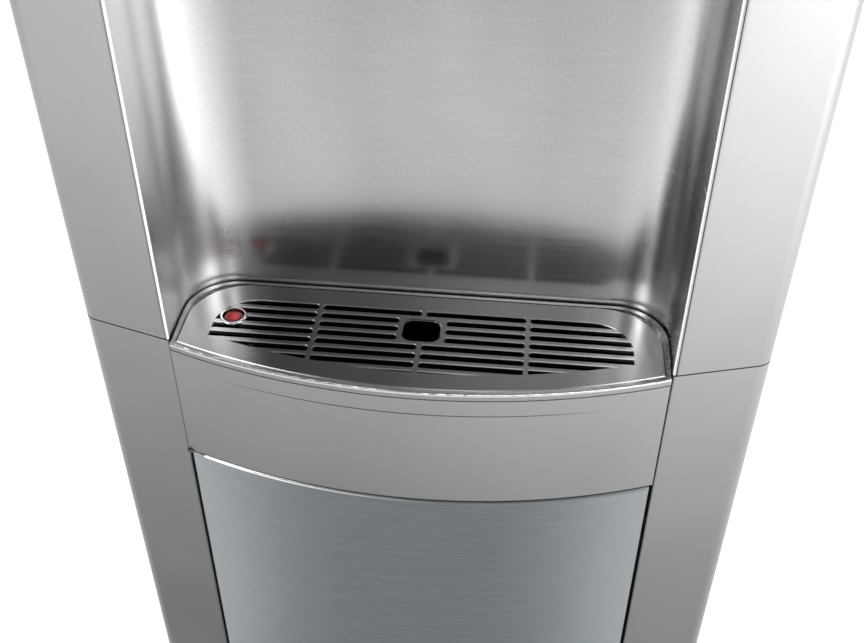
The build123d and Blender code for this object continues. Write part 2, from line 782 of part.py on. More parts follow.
# Hinge brackets: a plate under the apron and one on the plinth, each with its pin.
bracket = 1.4
bracket_plan = (20.0, 15.0)
with BuildPart() as hinge_brackets:
    with Locations((hinge_x + 4.8, hinge_y + 2.0, apron_bottom)):
        Box(*bracket_plan, bracket, align=(Align.CENTER, Align.CENTER, Align.MAX))
    with Locations((hinge_x, hinge_y, apron_bottom - bracket)):
        Cylinder(hinge_pin_radius, hinge_pin_length, align=(Align.CENTER, Align.CENTER, Align.MAX))
    with Locations((hinge_x + 4.8, hinge_y + 2.0, plinth_top)):
        Box(*bracket_plan, bracket, align=(Align.CENTER, Align.CENTER, Align.MIN))
    with Locations((hinge_x, hinge_y, plinth_top + bracket)):
        Cylinder(hinge_pin_radius, hinge_pin_length, align=(Align.CENTER, Align.CENTER, Align.MIN))
save(hinge_brackets.part, "hinge_brackets")

# Magnet catch at the door's free edge, and the steel strike on the bay's edge.
magnet_x = door_right - 14.0
magnet_size = (12.0, 5.0, 26.0)
catch_level = (door_top + door_bottom) / 2
magnet_y = front_y(magnet_x, door_back) - magnet_size[1] - 0.5
with BuildPart() as door_magnet:
    with Locations((magnet_x, magnet_y, catch_level)):
        Box(*magnet_size, align=(Align.CENTER, Align.MIN, Align.CENTER))
save(door_magnet.part, "door_magnet")

# Filter bay: moulded box behind the door, open at the front.
bay_front = door_back + 2.0
bay_half = recess_half - 1.0
bay_floor = plinth_top + bracket + 0.2
bay_top = apron_bottom - 2.0
bay_wall = 2.0


def bay_outline(inset, ahead, mode=Mode.ADD):
    half = bay_half - inset
    with BuildLine() as outline:
        ThreePointArc((-half, front_y(half, ahead)), (0, front + ahead), (half, front_y(half, ahead)))
        Polyline(
            (half, front_y(half, ahead)),
            (half, bay_back - inset),
            (-half, bay_back - inset),
            (-half, front_y(half, ahead)),
        )
    make_face(outline.edges(), mode=mode)


filter_top = bay_top - bay_wall
filter_bottom = filter_top - filter_head_height
filter_y = bay_back - bay_wall - cartridge_radius - 8.0
head_pipe_level = filter_bottom + filter_head_height / 2
with BuildPart() as bay_liner:
    with BuildSketch(Plane.XY.offset(bay_floor)):
        bay_outline(0.0, bay_front)
    extrude(amount=bay_top - bay_floor)
    with BuildSketch(Plane.XY.offset(bay_floor + bay_wall)):
        bay_outline(bay_wall, bay_front - 5.0)
    extrude(amount=bay_top - bay_floor - 2 * bay_wall, mode=Mode.SUBTRACT)
    with BuildSketch(Plane.XZ.offset(-bay_back)):
        with Locations((cold_stub_x, head_pipe_level), (-cold_stub_x, head_pipe_level)):
            Circle(stub_radius + slip)
    extrude(amount=bay_wall + 2.0, mode=Mode.SUBTRACT)
save(bay_liner.part, "bay_liner")

# Filter head: manifold with two sockets below and two pipe stubs behind.
head_half = cartridge_spacing / 2 + cartridge_radius
socket_radius = 13.0
socket_depth = 14.0
cartridge_places = ((-cartridge_spacing / 2, filter_y), (cartridge_spacing / 2, filter_y))
with BuildPart() as filter_head:
    with Locations((0, filter_y, filter_top)):
        Box(2 * head_half, 2 * cartridge_radius - 10.0, filter_head_height, align=(Align.CENTER, Align.CENTER, Align.MAX))
    fillet(filter_head.edges().filter_by(Axis.Z), 8.0)
    with BuildSketch(Plane.XY.offset(filter_bottom)):
        with Locations(*cartridge_places):
            Circle(socket_radius)
    extrude(amount=socket_depth, mode=Mode.SUBTRACT)
    with BuildSketch(Plane.XZ.offset(-filter_y - cartridge_radius + 5.0)):
        with Locations((cold_stub_x, head_pipe_level), (-cold_stub_x, head_pipe_level)):
            Circle(stub_radius)
    extrude(amount=-(bay_back + 6.0 - filter_y - cartridge_radius + 5.0))
save(filter_head.part, "filter_head")

# Filter cartridges: neck in the socket, shoulder, body and a grip bar underneath.
cartridge_top = filter_bottom - 1.0
for name, place in (("filter_cartridge_left", cartridge_places[0]), ("filter_cartridge_right", cartridge_places[1])):
    with BuildPart() as cartridge:
        with BuildSketch(Plane.XY.offset(cartridge_top)):
            with Locations(place):
                Circle(cartridge_radius)
        extrude(amount=-cartridge_length)
        fillet(cartridge.edges(), 5.0)
        with BuildSketch(Plane.XY.offset(cartridge_top)):
            with Locations(place):
                Circle(socket_radius - slip)
        extrude(amount=socket_depth - 1.0)
        with Locations((*place, cartridge_top - cartridge_length)):
            Box(1.3 * cartridge_radius, 6.0, 8.0, align=(Align.CENTER, Align.CENTER, Align.MAX))
    save(cartridge.part, name)

# ---------------------------------------------------------------- tanks

# Shelf across the cabinet under the tanks.
shelf_front = recess_back + sheet + 2.0
shelf_half = half_width - panel_flange - slip
shelf_lip = 12.0
with BuildPart() as tank_shelf:
    with BuildSketch(Plane.XY.offset(shelf_level)):
        with Locations((0, (shelf_front + panel_front - slip) / 2)):
            Rectangle(2 * shelf_half, panel_front - slip - shelf_front)
        with Locations((cold_stub_x, cold_stub_y)):
            Circle(stub_radius + 1.0, mode=Mode.SUBTRACT)
    extrude(amount=sheet)
    with BuildSketch(Plane.XY.offset(shelf_level)):
        with Locations((0, shelf_front + sheet / 2), (0, panel_front - slip - sheet / 2)):
            Rectangle(2 * shelf_half, sheet)
    extrude(amount=-shelf_lip)
save(tank_shelf.part, "tank_shelf")

tank_wall = 1.2


def can_section(x, y, radius, base, top, edge):
    """Half section of a closed thin-walled can, to be turned about its upright axis."""
    tall = top - base
    with BuildSketch(Plane((x, y, (base + top) / 2), x_dir=(1, 0, 0), z_dir=(0, -1, 0))) as section:
        RectangleRounded(2 * radius, tall, edge)
        RectangleRounded(2 * (radius - tank_wall), tall - 2 * tank_wall, edge - tank_wall, mode=Mode.SUBTRACT)
        with Locations((-radius, 0)):
            Rectangle(2 * radius, 2 * tall, mode=Mode.SUBTRACT)
    add(section.sketch)


# Cold tank: hollow can with a stub below and a stub above.
cold_base = tank_floor + foam
cold_top = foam_top - foam
with BuildPart() as cold_tank:
    can_section(cold_x, cold_y, cold_tank_radius, cold_base, cold_top, 14.0)
    revolve(axis=Axis((cold_x, cold_y, 0), (0, 0, 1)))
    with BuildSketch(Plane.XY.offset(cold_base + 1.0)):
        with Locations((cold_stub_x, cold_stub_y)):
            Circle(stub_radius)
    extrude(amount=-(cold_base + 1.0 - shelf_level + 8.0))
    with BuildSketch(Plane.XY.offset(cold_top - 1.0)):
        with Locations((cold_stub_x, cold_stub_y)):
            Circle(stub_radius)
    extrude(amount=foam_top - cold_top + 1.0)
save(cold_tank.part, "cold_tank")

# Evaporator coil round the cold tank.
coil_pitch = 2 * coil_tube + 2.0
coil_radius = cold_tank_radius + coil_tube + 0.3
coil_turns = int((cold_top - cold_base - 40.0) / coil_pitch)
coil_start = cold_base + 20.0
with BuildPart() as evaporator_coil:
    with BuildLine() as coil_path:
        Helix(coil_pitch, coil_turns * coil_pitch, coil_radius, center=(cold_x, cold_y, coil_start))
    with BuildSketch(Plane(coil_path.line @ 0, z_dir=coil_path.line % 0)):
        Circle(coil_tube)
    sweep(is_frenet=True)
save(evaporator_coil.part, "evaporator_coil")

# Foam round each tank, as a front and a rear half.
with BuildPart() as cold_insulation:
    with BuildSketch(Plane.XY.offset(tank_floor)):
        with Locations((cold_x, cold_y)):
            Circle(cold_foam)
    extrude(amount=foam_top - tank_floor)
    with BuildSketch(Plane.XY.offset(cold_base - slip)):
        with Locations((cold_x, cold_y)):
            Circle(cold_shell)
    extrude(amount=cold_top - cold_base + 2 * slip, mode=Mode.SUBTRACT)
    with BuildSketch(Plane.XY.offset(tank_floor)):
        with Locations((cold_stub_x, cold_stub_y)):
            Circle(stub_radius + slip)
    extrude(amount=foam_top - tank_floor, mode=Mode.SUBTRACT)
    split(bisect_by=Plane.XZ.offset(-cold_y), keep=Keep.BOTH)
save(cold_insulation.part, "cold_insulation")

# Hot tank with its band heater, drain pipe and outlet.
hot_base = tank_floor + foam
hot_top = hot_base + 0.62 * (foam_top - foam - hot_base)
hot_stub_x = hot_x - 0.5 * hot_tank_radius
with BuildPart() as hot_tank:
    can_section(hot_x, hot_y, hot_tank_radius, hot_base, hot_top, 7.0)
    revolve(axis=Axis((hot_x, hot_y, 0), (0, 0, 1)))
    with BuildSketch(Plane.XY.offset(hot_top - 1.0)):
        with Locations((hot_stub_x, hot_y)):
            Circle(stub_radius)
    extrude(amount=foam + 1.0)
save(hot_tank.part, "hot_tank")

heater_height = 28.0
heater_base = drain_level + drain_radius + 6.0
with BuildPart() as heater_band:
    with BuildSketch(Plane.XY.offset(heater_base)):
        with Locations((hot_x, hot_y)):
            Circle(hot_tank_radius + 2.5)
            Circle(hot_tank_radius + play, mode=Mode.SUBTRACT)
    extrude(amount=heater_height)
save(heater_band.part, "heater_band")

with BuildPart() as hot_insulation:
    with BuildSketch(Plane.XY.offset(tank_floor)):
        with Locations((hot_x, hot_y)):
            Circle(hot_foam)
    extrude(amount=hot_top + foam - tank_floor)
    with BuildSketch(Plane.XY.offset(hot_base - slip)):
        with Locations((hot_x, hot_y)):
            Circle(hot_shell)
    extrude(amount=hot_top - hot_base + 2 * slip, mode=Mode.SUBTRACT)
    with BuildSketch(Plane.XY.offset(hot_top)):
        with Locations((hot_stub_x, hot_y)):
            Circle(stub_radius + slip)
    extrude(amount=foam, mode=Mode.SUBTRACT)
    with BuildSketch(Plane.XZ.offset(-hot_y)):
        with Locations((hot_x, drain_level)):
            Circle(drain_radius + slip)
    extrude(amount=-hot_foam, mode=Mode.SUBTRACT)
    split(bisect_by=Plane.XZ.offset(-hot_y), keep=Keep.BOTH)
save(hot_insulation.part, "hot_insulation")

# Drain port: pipe from the hot tank out through the rear panel, closed by a pull-off cap.
drain_out = panel_back + 9.0
drain_bore = 3.5
cap_radius = 8.5
drain_start = hot_y + sqrt(hot_tank_radius**2 - drain_radius**2) + 0.5
with BuildPart() as drain_port:
    with BuildSketch(Plane.XZ.offset(-drain_start - 0.5)):
        with Locations((hot_x, drain_level)):
            Circle(drain_radius)
            Circle(drain_bore, mode=Mode.SUBTRACT)
    extrude(amount=-(drain_out - drain_start - 0.5))
    with BuildSketch(Plane.XZ.offset(-panel_back)):
        with Locations((hot_x, drain_level)):
            Circle(drain_radius + 3.0)
            Circle(drain_radius - 1.0, mode=Mode.SUBTRACT)
    extrude(amount=-2.0)
save(drain_port.part, "drain_port")

with BuildPart() as drain_cap:
    with BuildSketch(Plane.XZ.offset(-drain_out - 0.2)):
        with Locations((hot_x, drain_level)):
            Circle(cap_radius)
    extrude(amount=-6.0)
    fillet(drain_cap.edges().group_by(Axis.Y)[-1], 1.5)
    with BuildSketch(Plane.XZ.offset(-drain_out - 0.2)):
        with Locations((hot_x, drain_level)):
            Circle(drain_bore - slip)
    extrude(amount=8.0)
save(drain_cap.part, "drain_cap")

# ---------------------------------------------------------------- cooling

# Compressor: domed shell on a mounting plate, over four rubber grommets.
compressor_radius = 62.0
compressor_x = -(half_width - compressor_radius - 30.0)
compressor_y = (bay_back + panel_front) / 2
grommet_height = 14.0
plate_thickness = 3.0
plate_base = pan_top + grommet_height
shell_height = 132.0
grommet_reach = compressor_radius + 2.0
with BuildPart() as compressor:
    with BuildSketch(Plane.XY.offset(plate_base)):
        with Locations((compressor_x, compressor_y)):
            RectangleRounded(2 * grommet_reach, 1.7 * compressor_radius, 10.0)
            with GridLocations(2 * grommet_reach - 22.0, 1.7 * compressor_radius - 22.0, 2, 2):
                Circle(4.5, mode=Mode.SUBTRACT)
    extrude(amount=plate_thickness)
    with BuildSketch(Plane.XY.offset(plate_base + plate_thickness)):
        with Locations((compressor_x, compressor_y)):
            Circle(compressor_radius - 6.0)
    extrude(amount=shell_height)
    fillet(compressor.edges().group_by(Axis.Z)[-1], 30.0)
    with BuildSketch(Plane.XY.offset(plate_base + plate_thickness + 0.45 * shell_height)):
        with Locations((compressor_x, compressor_y)):
            Circle(compressor_radius - 3.0)
    extrude(amount=5.0)
    with BuildSketch(Plane.YZ.offset(compressor_x + compressor_radius - 10.0)):
        with Locations((compressor_y, plate_base + 45.0)):
            RectangleRounded(46.0, 40.0, 5.0)
    extrude(amount=22.0)
save(compressor.part, "compressor")

with BuildPart() as compressor_grommets:
    with BuildSketch(Plane.XY.offset(pan_top)):
        with Locations((compressor_x, compressor_y)):
            with GridLocations(2 * grommet_reach - 22.0, 1.7 * compressor_radius - 22.0, 2, 2):
                Circle(9.0)
    extrude(amount=grommet_height)
    with BuildSketch(Plane.XY.offset(plate_base)):
        with Locations((compressor_x, compressor_y)):
            with GridLocations(2 * grommet_reach - 22.0, 1.7 * compressor_radius - 22.0, 2, 2):
                Circle(4.4)
    extrude(amount=plate_thickness + 1.5)
save(compressor_grommets.part, "compressor_grommets")

# Condenser: one tube that runs to and fro, with upright wires on both sides of it.
bend = 0.45 * condenser_pitch
inside_y = panel_front - 14.0
tube_points = [(condenser_left, inside_y, condenser_top), (condenser_left, condenser_y, condenser_top)]
for run in range(condenser_runs):
    level = condenser_top - run * condenser_pitch
    forward = run % 2 == 0
    if run:
        tube_points.append((condenser_right if not forward else condenser_left, condenser_y, level))
    if run < condenser_runs - 1:
        tube_points.append((condenser_right if forward else condenser_left, condenser_y, level))
tube_points.append((condenser_end, condenser_y, condenser_bottom))
tube_points.append((condenser_end, inside_y, condenser_bottom))
tube_radii = [6.0] + [bend] * (2 * condenser_runs - 2) + [6.0]
with BuildPart() as condenser_tube:
    with BuildLine() as tube_path:
        FilletPolyline(*tube_points, radius=tube_radii)
    with BuildSketch(Plane(tube_path.line @ 0, z_dir=tube_path.line % 0)):
        Circle(condenser_tube_radius)
    sweep()
save(condenser_tube.part, "condenser_tube")

wire_count = 12
wire_offset = condenser_tube_radius + condenser_wire_radius + play
wire_span = condenser_right - condenser_left - 2 * bend - 12.0
wire_middle = (condenser_right + condenser_left) / 2
with BuildPart() as condenser_wires:
    with BuildSketch(Plane.XY.offset(condenser_bottom - 8.0)):
        with Locations((wire_middle, condenser_y)):
            with GridLocations(wire_span / (wire_count - 1), 2 * wire_offset, wire_count, 2):
                Circle(condenser_wire_radius)
    extrude(amount=condenser_top - condenser_bottom + 16.0)
save(condenser_wires.part, "condenser_wires")

# Wall spacers: four tapered posts that keep the condenser off the wall.
spacer_x = half_width - 22.0
spacer_levels = (foot_height + 78.0, cap_level - 24.0)
spacer_base = 11.0
with BuildPart() as wall_spacers:
    with BuildSketch(Plane.XZ.offset(-panel_back)):
        with Locations(*[(x, z) for x in (-spacer_x, spacer_x) for z in spacer_levels]):
            Circle(spacer_base)
    extrude(amount=-rear_standoff, taper=6)
save(wall_spacers.part, "wall_spacers")

# Filter drier: copper bulb on the liquid line, standing beside the compressor.
drier_x = compressor_x + compressor_radius + 34.0
drier_y = panel_front - 26.0
with BuildPart() as filter_drier:
    with Locations((drier_x, drier_y, plate_base + 30.0)):
        Cylinder(9.0, 70.0, align=(Align.CENTER, Align.CENTER, Align.MIN))
    fillet(filter_drier.edges(), 6.0)
    with Locations((drier_x, drier_y, plate_base + 12.0)):
        Cylinder(2.5, 106.0, align=(Align.CENTER, Align.CENTER, Align.MIN))
save(filter_drier.part, "filter_drier")

# ---------------------------------------------------------------- services

# Power inlet: flanged three-pin socket in the rear panel, with no lead.
with BuildPart() as power_inlet:
    with BuildSketch(Plane.XZ.offset(-panel_back)):
        with Locations((power_x, services_level)):
            RectangleRounded(power_width + 8.0, power_height + 6.0, 3.0)
    extrude(amount=-2.5)
    with BuildSketch(Plane.XZ.offset(-panel_back)):
        with Locations((power_x, services_level)):
            Rectangle(power_width - 2 * slip, power_height - 2 * slip)
    extrude(amount=20.0)
    with BuildSketch(Plane.XZ.offset(-panel_back - 2.5)):
        with Locations((power_x, services_level)):
            RectangleRounded(power_width - 4.6, power_height - 4.4, 2.0)
    extrude(amount=16.0, mode=Mode.SUBTRACT)
    with BuildSketch(Plane.XZ.offset(-panel_back + 12.0)):
        with Locations((power_x - 7.0, services_level), (power_x, services_level), (power_x + 7.0, services_level)):
            Rectangle(2.0, 4.0)
    extrude(amount=-13.0)
save(power_inlet.part, "power_inlet")

# Rocker switches: a bezel in the panel with a rocker that tips on a pin across it.
rocker_pin = 1.0
rocker_reach = 3.5
pivot_y = panel_back - 1.0
with BuildPart() as switch_housings:
    with BuildSketch(Plane.XZ.offset(-panel_back)):
        with Locations(*[(x, services_level) for x in rocker_places]):
            RectangleRounded(rocker_width + 4.0, rocker_height + 4.0, 1.5)
    extrude(amount=-1.6)
    with BuildSketch(Plane.XZ.offset(-panel_back)):
        with Locations(*[(x, services_level) for x in rocker_places]):
            Rectangle(rocker_width - 2 * slip, rocker_height - 2 * slip)
    extrude(amount=14.0)
    with BuildSketch(Plane.XZ.offset(-panel_back - 1.6)):
        with Locations(*[(x, services_level) for x in rocker_places]):
            Rectangle(rocker_width - 3.0, rocker_height - 3.0)
    extrude(amount=12.0, mode=Mode.SUBTRACT)
    for x in rocker_places:
        with BuildSketch(Plane.YZ.offset(x - rocker_width)):
            with Locations((pivot_y, services_level)):
                Circle(rocker_pin + play)
        extrude(amount=2 * rocker_width, mode=Mode.SUBTRACT)
save(switch_housings.part, "switch_housings")

rocker_tilt = 7.0
rocker_radius = (rocker_height - 3.0) / 2 - slip
rocker_half = (rocker_width - 3.0) / 2 - slip
lean = radians(rocker_tilt)
for name, x in (("rocker_cold", rocker_places[0]), ("rocker_hot", rocker_places[1])):
    tilted = Plane((x - rocker_half, pivot_y, services_level), x_dir=(0, cos(lean), sin(lean)), z_dir=(1, 0, 0))
    with BuildPart() as rocker:
        with BuildSketch(tilted):
            Circle(rocker_radius)
            with BuildLine():
                Polyline(
                    (-2.5, -rocker_radius - 1.0),
                    (rocker_reach, -rocker_radius - 1.0),
                    (rocker_reach - 1.4, 0),
                    (rocker_reach, rocker_radius + 1.0),
                    (-2.5, rocker_radius + 1.0),
                    close=True,
                )
            make_face(mode=Mode.INTERSECT)
        extrude(amount=2 * rocker_half)
        with BuildSketch(Plane.YZ.offset(x - rocker_half - 0.9)):
            with Locations((pivot_y, services_level)):
                Circle(rocker_pin)
        extrude(amount=2 * rocker_half + 1.8)
    save(rocker.part, name)

# Water inlet: bulkhead fitting for a push-in tube.
inlet_bore = 3.2
inlet_bore_depth = 14.0
inlet_inner = panel_front - 18.0
with BuildPart() as inlet_fitting:
    with BuildSketch(Plane.XZ.offset(-panel_back - 16.0)):
        with Locations((inlet_x, services_level)):
            Circle(fitting_radius - 2.5)
    extrude(amount=panel_back + 16.0 - inlet_inner)
    with BuildSketch(Plane.XZ.offset(-panel_back)):
        with Locations((inlet_x, services_level)):
            Circle(fitting_radius)
    extrude(amount=-3.0)
    with BuildSketch(Plane.XZ.offset(-panel_front)):
        with Locations((inlet_x, services_level)):
            RegularPolygon(fitting_radius, 6)
    extrude(amount=5.0)
    with BuildSketch(Plane.XZ.offset(-panel_back - 16.0)):
        with Locations((inlet_x, services_level)):
            Circle(inlet_bore)
    extrude(amount=inlet_bore_depth, mode=Mode.SUBTRACT)
save(inlet_fitting.part, "inlet_fitting")

# Water tubes: inlet to filter head, filter head to cold tank, each tank to its valve.
tube_bend = 12.0
short_bend = 7.0
tube_run = foam_top + 12.0
hot_out = hot_top + foam
behind_liner = recess_back + 3.0
tube_gap = 0.2
riser_y = bay_back + 40.0
tube_routes = [
    (
        [
            (inlet_x, inlet_inner - tube_gap, services_level),
            (inlet_x, riser_y, services_level),
            (inlet_x, riser_y, head_pipe_level),
            (-cold_stub_x, riser_y, head_pipe_level),
            (-cold_stub_x, bay_back + 6.0 + tube_gap, head_pipe_level),
        ],
        tube_bend,
    ),
    (
        [
            (cold_stub_x, bay_back + 6.0 + tube_gap, head_pipe_level),
            (cold_stub_x, cold_stub_y, head_pipe_level),
            (cold_stub_x, cold_stub_y, shelf_level - 8.0 - tube_gap),
        ],
        short_bend,
    ),
    (
        [
            (cold_stub_x, cold_stub_y, foam_top + tube_gap),
            (cold_stub_x, cold_stub_y, tube_run),
            (-nozzle_spacing / 2, behind_liner, tube_run),
            (-nozzle_spacing / 2, behind_liner, valve_level),
            (-nozzle_spacing / 2, valve_inlet + tube_gap, valve_level),
        ],
        short_bend,
    ),
    (
        [
            (hot_stub_x, hot_y, hot_out + tube_gap),
            (hot_stub_x, hot_y, tube_run),
            (nozzle_spacing / 2, behind_liner, tube_run),
            (nozzle_spacing / 2, behind_liner, valve_level),
            (nozzle_spacing / 2, valve_inlet + tube_gap, valve_level),
        ],
        short_bend,
    ),
]
with BuildPart() as water_tubes:
    for points, bend_radius in tube_routes:
        with BuildLine() as route:
            FilletPolyline(*points, radius=bend_radius)
        with BuildSketch(Plane(route.line @ 0, z_dir=route.line % 0)):
            Circle(stub_radius)
        sweep(path=route.line)
save(water_tubes.part, "water_tubes")

# Power board under the shelf: board on four posts, with relays, a transformer and capacitors.
power_board_x = half_width - 80.0
power_board_y = compressor_y - 4.0
power_board_top = shelf_level - 8.0
with BuildPart() as power_board:
    with BuildSketch(Plane.XY.offset(power_board_top)):
        with Locations((power_board_x, power_board_y)):
            Rectangle(100.0, 74.0)
    extrude(amount=-1.6)
    with BuildSketch(Plane.XY.offset(power_board_top)):
        with Locations((power_board_x, power_board_y)):
            with GridLocations(90.0, 64.0, 2, 2):
                Circle(3.0)
    extrude(amount=8.0)
    with BuildSketch(Plane.XY.offset(power_board_top - 1.6)):
        with Locations((power_board_x - 28.0, power_board_y + 12.0)):
            Rectangle(30.0, 26.0)
        with Locations((power_board_x + 10.0, power_board_y - 20.0), (power_board_x + 30.0, power_board_y - 20.0)):
            Rectangle(15.0, 19.0)
    extrude(amount=-18.0)
    with BuildSketch(Plane.XY.offset(power_board_top - 1.6)):
        with Locations((power_board_x + 8.0, power_board_y + 16.0), (power_board_x + 28.0, power_board_y + 16.0)):
            Circle(7.0)
    extrude(amount=-22.0)
save(power_board.part, "power_board")
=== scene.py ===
# %% [markdown]
# # A countertop water dispenser
# The dispenser is already drawn as an engineering part: sixty named pieces that
# open, lift, twist and press. Here those pieces get their finishes, and the few
# thin details that a finish alone can't give: the rolled lip of the door, the
# rolled edges of the recess and the marks on the keys. Everything is in metres,
# with X to the right, Y to the back and Z up.

# %% Load the engineering model as a fixed frame
import json

import bpy
import numpy as np
from mathutils import Matrix, Vector


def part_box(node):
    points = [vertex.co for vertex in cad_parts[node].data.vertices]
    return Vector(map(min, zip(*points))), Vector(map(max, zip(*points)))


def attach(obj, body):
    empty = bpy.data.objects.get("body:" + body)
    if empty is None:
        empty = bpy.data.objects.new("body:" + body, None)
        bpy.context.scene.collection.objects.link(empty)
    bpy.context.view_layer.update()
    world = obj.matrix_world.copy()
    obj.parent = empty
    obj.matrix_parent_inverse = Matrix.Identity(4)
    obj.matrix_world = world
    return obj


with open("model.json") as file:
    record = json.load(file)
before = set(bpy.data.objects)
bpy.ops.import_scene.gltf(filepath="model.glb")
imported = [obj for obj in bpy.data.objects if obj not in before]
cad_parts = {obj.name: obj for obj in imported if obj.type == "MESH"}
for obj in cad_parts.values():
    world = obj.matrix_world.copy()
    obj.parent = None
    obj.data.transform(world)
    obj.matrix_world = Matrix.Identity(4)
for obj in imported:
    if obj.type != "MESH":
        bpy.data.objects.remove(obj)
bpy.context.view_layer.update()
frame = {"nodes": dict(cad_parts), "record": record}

MM = 0.001
MICRON = 0.000001
front_low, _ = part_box("apron")
_, grate_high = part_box("grate")
skin_low, skin_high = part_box("door_skin")
ARC_BOW, ARC_HALF = 20.3 * MM, 111.3 * MM
ARC_RADIUS = (ARC_HALF**2 + ARC_BOW**2) / (2 * ARC_BOW)
ARC_CENTRE = front_low.y + ARC_RADIUS
print("apron", [round(v, 4) for v in front_low], "grate level", round(grate_high.z, 4))

# %% [markdown]
# ## The camera
# A product view from above the tray: the camera stands a little to the right of
# the middle, half a metre in front, and looks down by forty degrees. Its three
# axes are worked out from yaw, pitch and roll and put straight into the
# camera's matrix, because that has no gimbal order to get wrong.

# %% Camera
YAW, PITCH, ROLL = np.radians([-5.78, 39.81, -0.24])
CAMERA_AT = Vector((0.04429, -0.52523, 0.61417))
LENS, SENSOR_WIDTH = 46.92, 36


def camera_axes(yaw, pitch, roll):
    """Forward is (sin yaw cos pitch, cos yaw cos pitch, -sin pitch).

    Right is level. Both right and down are then turned by roll about forward.
    """
    level = np.cos(pitch)
    forward = Vector((np.sin(yaw) * level, np.cos(yaw) * level, -np.sin(pitch)))
    right = Vector((np.cos(yaw), -np.sin(yaw), 0))
    down = forward.cross(right)
    turned_right = np.cos(roll) * right + np.sin(roll) * down
    turned_down = np.cos(roll) * down - np.sin(roll) * right
    return turned_right, -turned_down, -forward


camera_data = bpy.data.cameras.new("camera")
camera_data.sensor_width = SENSOR_WIDTH
camera_data.lens = LENS
camera = bpy.data.objects.new("camera", camera_data)
bpy.context.scene.collection.objects.link(camera)
axes = camera_axes(YAW, PITCH, ROLL)
camera.matrix_world = Matrix.Translation(CAMERA_AT) @ Matrix(axes).transposed().to_4x4()
bpy.context.scene.camera = camera
print("camera at", [round(v, 3) for v in camera.location])

# %% [markdown]
# ## Writing finishes as arithmetic
# A finish is a small sum of patterns. `Signal` wraps a shader socket so that
# such a sum can be written as a Python expression, and `Finish` is a material
# with one method that adds any node. Only the values that change over a surface
# are linked; a constant is set on the shader itself.


# %% Signal and Finish
class Signal:
    """A shader socket that can be added, subtracted and multiplied."""

    def __init__(self, finish, socket):
        self.finish, self.socket = finish, socket

    def math(self, operation, *values):
        inputs = dict(enumerate(values))
        return self.finish.node("ShaderNodeMath", {"operation": operation}, inputs)

    def __add__(self, other):
        return self.math("ADD", self, other)

    def __sub__(self, other):
        return self.math("SUBTRACT", self, other)

    def __rsub__(self, other):
        return self.math("SUBTRACT", other, self)

    def __mul__(self, other):
        return self.math("MULTIPLY", self, other)

    __radd__, __rmul__ = __add__, __mul__

    def ramp(self, low, high):
        """Rises smoothly from 0 where the signal is low to 1 where it is high."""
        settings = {"interpolation_type": "SMOOTHSTEP"}
        return self.finish.node("ShaderNodeMapRange", settings, {0: self, 1: low, 2: high})


class Finish:
    """A material under construction. Constants go straight on its shader."""

    def __init__(self, name, **constants):
        self.material = bpy.data.materials.new(name)
        self.material.use_nodes = True
        self.tree = self.material.node_tree
        self.shader = self.tree.nodes["Principled BSDF"]
        for socket, value in constants.items():
            self.shader.inputs[socket.replace("_", " ")].default_value = value

    def node(self, kind, settings=None, inputs=None, output=0):
        made = self.tree.nodes.new(kind)
        for key, value in (settings or {}).items():
            setattr(made, key, value)
        for key, value in (inputs or {}).items():
            if isinstance(value, Signal):
                self.tree.links.new(value.socket, made.inputs[key])
            else:
                made.inputs[key].default_value = value
        return Signal(self, made.outputs[output])

    def feed(self, socket, signal):
        self.tree.links.new(signal.socket, self.shader.inputs[socket])

    def place(self):
        """Object coordinates, in metres."""
        return self.node("ShaderNodeTexCoord", output="Object")

    def axis(self, output):
        """One of the three object coordinates, in metres."""
        return self.node("ShaderNodeSeparateXYZ", inputs={0: self.place()}, output=output)

    def height(self):
        """How high a point is above the counter, in metres."""
        return self.axis(2)

    def across(self):
        """How far a point is to the right of the middle, in metres."""
        return self.axis(0)

    def off_middle(self, low, high):
        """0 where x squared is below low, 1 where it is above high, on both sides alike."""
        across = self.across()
        return (across * across).ramp(low, high)

    def reach(self, middle):
        """Level distance from the upright line through middle, in metres."""
        kind = "ShaderNodeVectorMath"
        offset = self.node(kind, {"operation": "SUBTRACT"}, {0: self.place(), 1: middle})
        flat = self.node(kind, {"operation": "MULTIPLY"}, {0: offset, 1: (1, 1, 0)})
        return self.node(kind, {"operation": "LENGTH"}, {0: flat}, output=1)

    def grain(self, scale, detail=3.0, roughness=0.6):
        """Noise whose cells are 1/scale metres long on each axis."""
        mapped = self.node("ShaderNodeMapping", inputs={0: self.place(), 3: scale})
        inputs = {"Vector": mapped, "Scale": 1.0, "Detail": detail, "Roughness": roughness}
        return self.node("ShaderNodeTexNoise", inputs=inputs)

    def blend(self, signal, first, second):
        """Colour: first where the signal is 0, second where it is 1."""
        inputs = {0: signal, 6: first, 7: second}
        return self.node("ShaderNodeMix", {"data_type": "RGBA"}, inputs, output=2)

    def bump(self, signal, distance, strength):
        """Raises the surface by distance, in metres, where the signal is 1."""
        inputs = {"Height": signal, "Distance": distance, "Strength": strength}
        self.feed("Normal", self.node("ShaderNodeBump", inputs=inputs))


def grey(value, warmth=0.0):
    """A grey, a little warmer or colder."""
    return (value * (1 + warmth), value, value * (1 - warmth), 1.0)


def tone(red, green, blue):
    """A colour with its alpha."""
    return (red, green, blue, 1.0)


print("helpers ready")

# %% [markdown]
# ## Silver shell
# The pillars, the apron and the fascia are smooth panels in a satin silver coat. Four patterns are
# summed: metal flake finer than half a millimetre, a faint cloud about a tenth of a metre wide, a
# painted shade that darkens the colour slowly towards the foot, and another painted shade towards the
# left. The panels reflect, so most of the shading is left to the lamps.


# %% Silver shell
FLAKE = (2600, 2600, 2600)
SHELL_LEFT, SHELL_RIGHT = -0.16, 0.16
SHELL_FOOT, SHELL_HEAD = 0.05, 0.60


